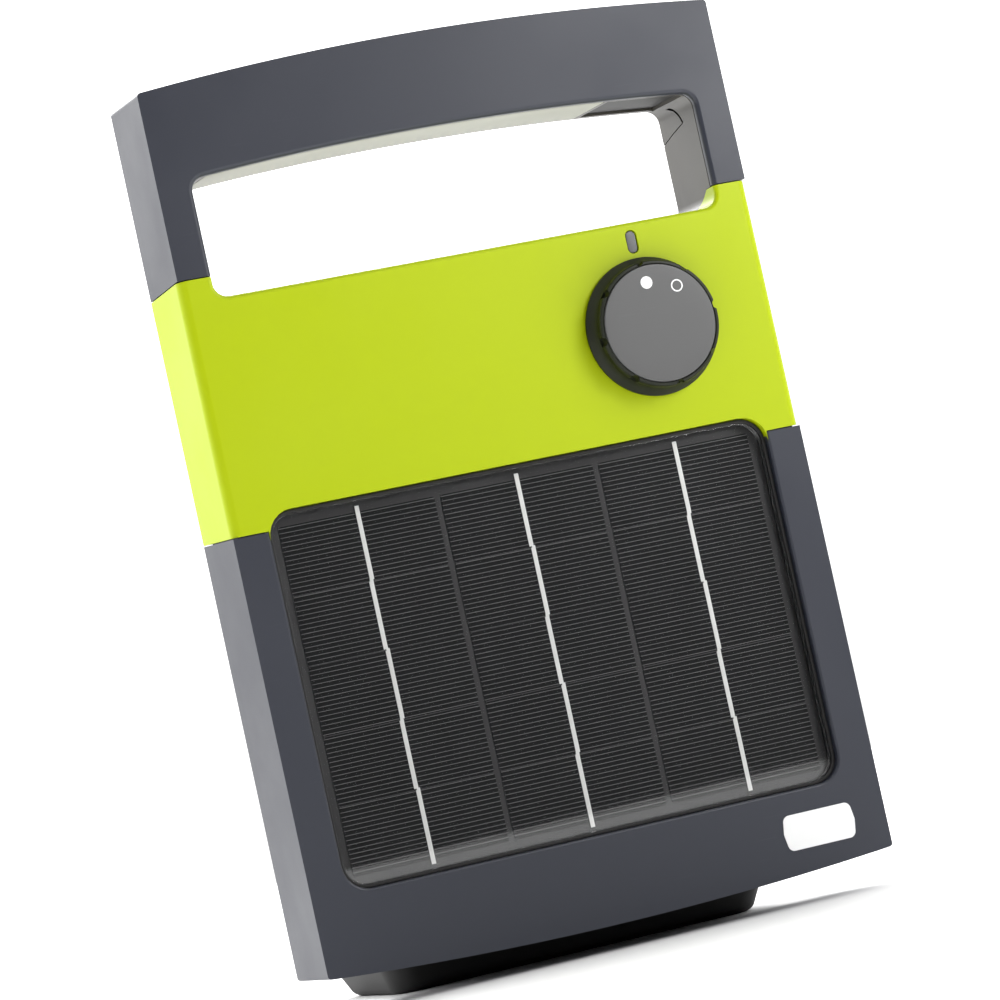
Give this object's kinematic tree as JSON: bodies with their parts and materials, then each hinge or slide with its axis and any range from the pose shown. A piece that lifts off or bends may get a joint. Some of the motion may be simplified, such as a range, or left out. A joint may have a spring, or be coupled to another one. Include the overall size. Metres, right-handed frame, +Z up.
{
  "type": "fence energizer",
  "caption": "Upright solar-powered electric fence energizer with an arched carrying handle, a framed solar panel, a rotary power knob and rear output terminals.",
  "frame": {"origin": "on the ground under the foot, at the centre of the whole object's box", "axes": "+Z up, -Y towards the solar panel and the power knob, +X to the right as seen from the front"},
  "size_m": [0.194, 0.1072, 0.2965],
  "materials": {
    "charcoal_plastic": "fine spark-eroded moulding texture",
    "lime_plastic": "smooth satin moulding",
    "pale_grip": "soft-touch overmould",
    "black_rubber": "matt moulded rubber",
    "white_plastic": "printed label face",
    "panel_glass": "clear tempered cover",
    "silicon": "dark blue-black wafer with silver fingers",
    "ribbon_tin": "tinned copper ribbon",
    "backsheet": "dark laminate",
    "knob_plastic": "matt black moulding",
    "cap_plastic": "satin grey disc",
    "mark_white": "pad print",
    "zinc_steel": "zinc plated",
    "stainless": "turned stainless",
    "brass": "turned",
    "red_plastic": "glossy moulding",
    "green_plastic": "glossy moulding",
    "smoke_lens": "translucent light pipe",
    "led_resin": "clear green resin",
    "board_laminate": "solder mask",
    "core_iron": "varnished laminations",
    "winding": "taped copper winding",
    "can_sleeve": "sleeved can",
    "chip_epoxy": "moulded epoxy",
    "battery_case": "ABS battery case",
    "lead_red": "insulated wire",
    "lead_black": "insulated wire",
    "foam": "closed-cell foam"
  },
  "bodies": {
    "case": {"lower_case": "charcoal_plastic", "mid_cover": "lime_plastic", "handle_cover": "charcoal_plastic", "grip_pad": "pale_grip", "handle_back": "charcoal_plastic", "rear_shell": "charcoal_plastic", "terminal_shell": "charcoal_plastic", "battery_cover": "charcoal_plastic", "cover_seal": "black_rubber", "case_seal": "black_rubber", "base_foot": "black_rubber", "case_screws": "zinc_steel", "cover_screws": "zinc_steel", "foot_screws": "zinc_steel", "badge_plate": "white_plastic", "panel_gasket": "black_rubber", "panel_glass": "panel_glass", "solar_cells": "silicon", "cell_ribbons": "ribbon_tin", "panel_backsheet": "backsheet", "junction_box": "knob_plastic", "switch_body": "chip_epoxy", "switch_nut": "zinc_steel", "shaft_seal": "black_rubber", "indicator_lens": "smoke_lens", "indicator_led": "led_resin", "circuit_board": "board_laminate", "board_screws": "zinc_steel", "transformer_core": "core_iron", "transformer_coil": "winding", "storage_capacitors": "can_sleeve", "output_thyristor": "chip_epoxy", "battery": "battery_case", "battery_tabs": "ribbon_tin", "battery_foot_pad": "foam", "battery_strap": "zinc_steel", "strap_screws": "zinc_steel", "battery_leads": "lead_red", "panel_leads": "lead_black", "fence_stud": "stainless", "fence_base": "red_plastic", "earth_stud": "stainless", "earth_base": "green_plastic", "stud_washers": "stainless", "stud_nuts": "stainless"},
    "power_knob": {"knob_grip": "knob_plastic", "knob_cap": "cap_plastic", "knob_marks": "mark_white", "knob_shaft": "stainless"},
    "fence_clamp": {"fence_washer": "stainless"},
    "fence_thumb_nut": {"fence_nut": "red_plastic", "fence_insert": "brass"},
    "earth_clamp": {"earth_washer": "stainless"},
    "earth_thumb_nut": {"earth_nut": "green_plastic", "earth_insert": "brass"}
  },
  "joints": [
    {"name": "knob_turn", "type": "hinge", "parent": "case", "child": "power_knob", "pos_m": [0.0536, -0.049, 0.19055], "axis": [0, 1, 0], "range_deg": [-37.5, 7.5]},
    {"name": "fence_clamp_slide", "type": "slide", "parent": "case", "child": "fence_clamp", "axis": [0, 1, 0], "range_m": [0, 0.0038]},
    {"name": "fence_nut_turn", "type": "hinge", "parent": "fence_clamp", "child": "fence_thumb_nut", "pos_m": [-0.034, 0.0406, 0.194], "axis": [0, 1, 0], "range_deg": [0, 1080]},
    {"name": "earth_clamp_slide", "type": "slide", "parent": "case", "child": "earth_clamp", "axis": [0, 1, 0], "range_m": [0, 0.0038]},
    {"name": "earth_nut_turn", "type": "hinge", "parent": "earth_clamp", "child": "earth_thumb_nut", "pos_m": [0.034, 0.0406, 0.194], "axis": [0, 1, 0], "range_deg": [0, 1080]}
  ],
  "couplings": [
    {"joint": "fence_clamp_slide", "follows": "fence_nut_turn", "m_per_rad": 0.00019894},
    {"joint": "earth_clamp_slide", "follows": "earth_nut_turn", "m_per_rad": 0.00019894}
  ]
}
